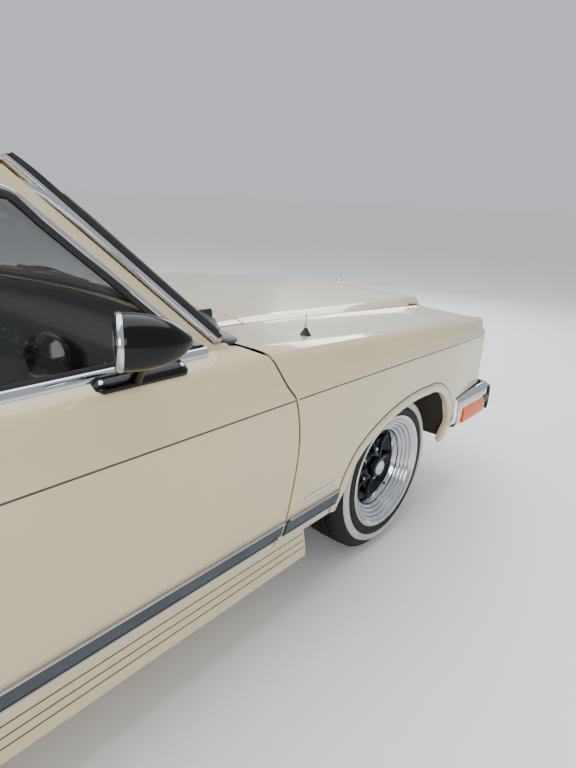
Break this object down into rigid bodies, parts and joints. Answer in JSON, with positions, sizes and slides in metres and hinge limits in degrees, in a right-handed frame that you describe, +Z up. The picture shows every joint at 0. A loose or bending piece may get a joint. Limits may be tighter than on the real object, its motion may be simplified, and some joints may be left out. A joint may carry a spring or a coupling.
{
  "type": "full-size four-door sedan",
  "caption": "Full-size late-1970s four-door sedan in cream paint with chrome bumpers and trim, separate opening panels, glazed hollow cabin, steered and turning wheels.",
  "frame": {"origin": "on the ground under the middle of the overall length, on the centre plane", "axes": "+X to the front of the car, +Y to its left, +Z up"},
  "size_m": [5.022, 2.075, 1.4299],
  "materials": {
    "paint": "gloss",
    "underbody": "matte",
    "chrome": "polished",
    "glass": "gloss",
    "tyre": "matte",
    "rim": "polished",
    "iron": "matte",
    "seat": "matte",
    "plastic": "matte",
    "gloss_black": "gloss",
    "lamp_clear": "gloss",
    "lamp_amber": "gloss",
    "lamp_red": "gloss",
    "exhaust_steel": "satin",
    "trim": "satin"
  },
  "bodies": {
    "front_door_right": {"door_front_right": "paint", "glass_front_right": "glass", "mirror_right": "gloss_black"},
    "rear_door_right": {"door_rear_right": "paint", "glass_rear_right": "glass"},
    "steer_right": {"knuckle_right": "iron"},
    "front_wheel_right": {"wheel_front_right": "rim", "tyre_front_right": "tyre"},
    "rear_wheel_right": {"wheel_rear_right": "rim", "tyre_rear_right": "tyre"},
    "front_door_left": {"door_front_left": "paint", "glass_front_left": "glass", "mirror_left": "gloss_black"},
    "rear_door_left": {"door_rear_left": "paint", "glass_rear_left": "glass"},
    "steer_left": {"knuckle_left": "iron"},
    "front_wheel_left": {"wheel_front_left": "rim", "tyre_front_left": "tyre"},
    "rear_wheel_left": {"wheel_rear_left": "rim", "tyre_rear_left": "tyre"},
    "hood_body": {"hood": "paint"},
    "trunk_body": {"trunk_lid": "paint"},
    "steering": {"steering_wheel": "plastic"},
    "car": {"body_shell": "paint", "dashboard": "plastic", "drivetrain": "iron", "exhaust": "exhaust_steel", "fender_left": "paint", "fender_right": "paint", "floor_pan": "underbody", "front_bumper": "chrome", "front_panel": "paint", "front_seats": "seat", "front_suspension": "iron", "fuel_tank": "exhaust_steel", "grille": "chrome", "head_lamps": "lamp_clear", "hood_ornament": "chrome", "rear_axle": "iron", "rear_bumper": "chrome", "rear_seat": "seat", "rear_window": "glass", "sill_boards": "trim", "tail_lamps": "lamp_red", "turn_lamps": "lamp_amber", "windshield": "glass"}
  },
  "joints": [
    {"name": "door_front_right_hinge", "type": "hinge", "parent": "car", "child": "front_door_right", "pos_m": [0.838, -0.915, 0.61], "axis": [0, 0, 1], "range_deg": [0, 62]},
    {"name": "door_rear_right_hinge", "type": "hinge", "parent": "car", "child": "rear_door_right", "pos_m": [-0.264, -0.915, 0.61], "axis": [0, 0, 1], "range_deg": [0, 62]},
    {"name": "steer_right", "type": "hinge", "parent": "car", "child": "steer_right", "pos_m": [1.566, -0.655, 0.325], "axis": [0, 0, 1], "range_deg": [-30, 30]},
    {"name": "spin_front_right", "type": "hinge", "parent": "steer_right", "child": "front_wheel_right", "pos_m": [1.566, -0.779, 0.325], "axis": [0, 1, 0], "continuous": true},
    {"name": "spin_rear_right", "type": "hinge", "parent": "car", "child": "rear_wheel_right", "pos_m": [-1.225, -0.752, 0.325], "axis": [0, 1, 0], "continuous": true},
    {"name": "door_front_left_hinge", "type": "hinge", "parent": "car", "child": "front_door_left", "pos_m": [0.838, 0.915, 0.61], "axis": [0, 0, -1], "range_deg": [0, 62]},
    {"name": "door_rear_left_hinge", "type": "hinge", "parent": "car", "child": "rear_door_left", "pos_m": [-0.264, 0.915, 0.61], "axis": [0, 0, -1], "range_deg": [0, 62]},
    {"name": "steer_left", "type": "hinge", "parent": "car", "child": "steer_left", "pos_m": [1.566, 0.655, 0.325], "axis": [0, 0, 1], "range_deg": [-30, 30]},
    {"name": "spin_front_left", "type": "hinge", "parent": "steer_left", "child": "front_wheel_left", "pos_m": [1.566, 0.779, 0.325], "axis": [0, 1, 0], "continuous": true},
    {"name": "spin_rear_left", "type": "hinge", "parent": "car", "child": "rear_wheel_left", "pos_m": [-1.225, 0.752, 0.325], "axis": [0, 1, 0], "continuous": true},
    {"name": "hood_hinge", "type": "hinge", "parent": "car", "child": "hood_body", "pos_m": [1.094, 0, 0.92378], "axis": [0, -1, 0], "range_deg": [0, 48]},
    {"name": "trunk_hinge", "type": "hinge", "parent": "car", "child": "trunk_body", "pos_m": [-1.171, 0, 0.97859], "axis": [0, 1, 0], "range_deg": [0, 70]},
    {"name": "steering_wheel_turn", "type": "hinge", "parent": "car", "child": "steering", "pos_m": [0.395, 0.37, 0.82], "axis": [-0.9135, 0, 0.4067], "range_deg": [-510, 510]}
  ],
  "couplings": [
    {"joint": "steer_left", "follows": "steer_right", "ratio": 1},
    {"joint": "steering_wheel_turn", "follows": "steer_right", "ratio": 17}
  ]
}
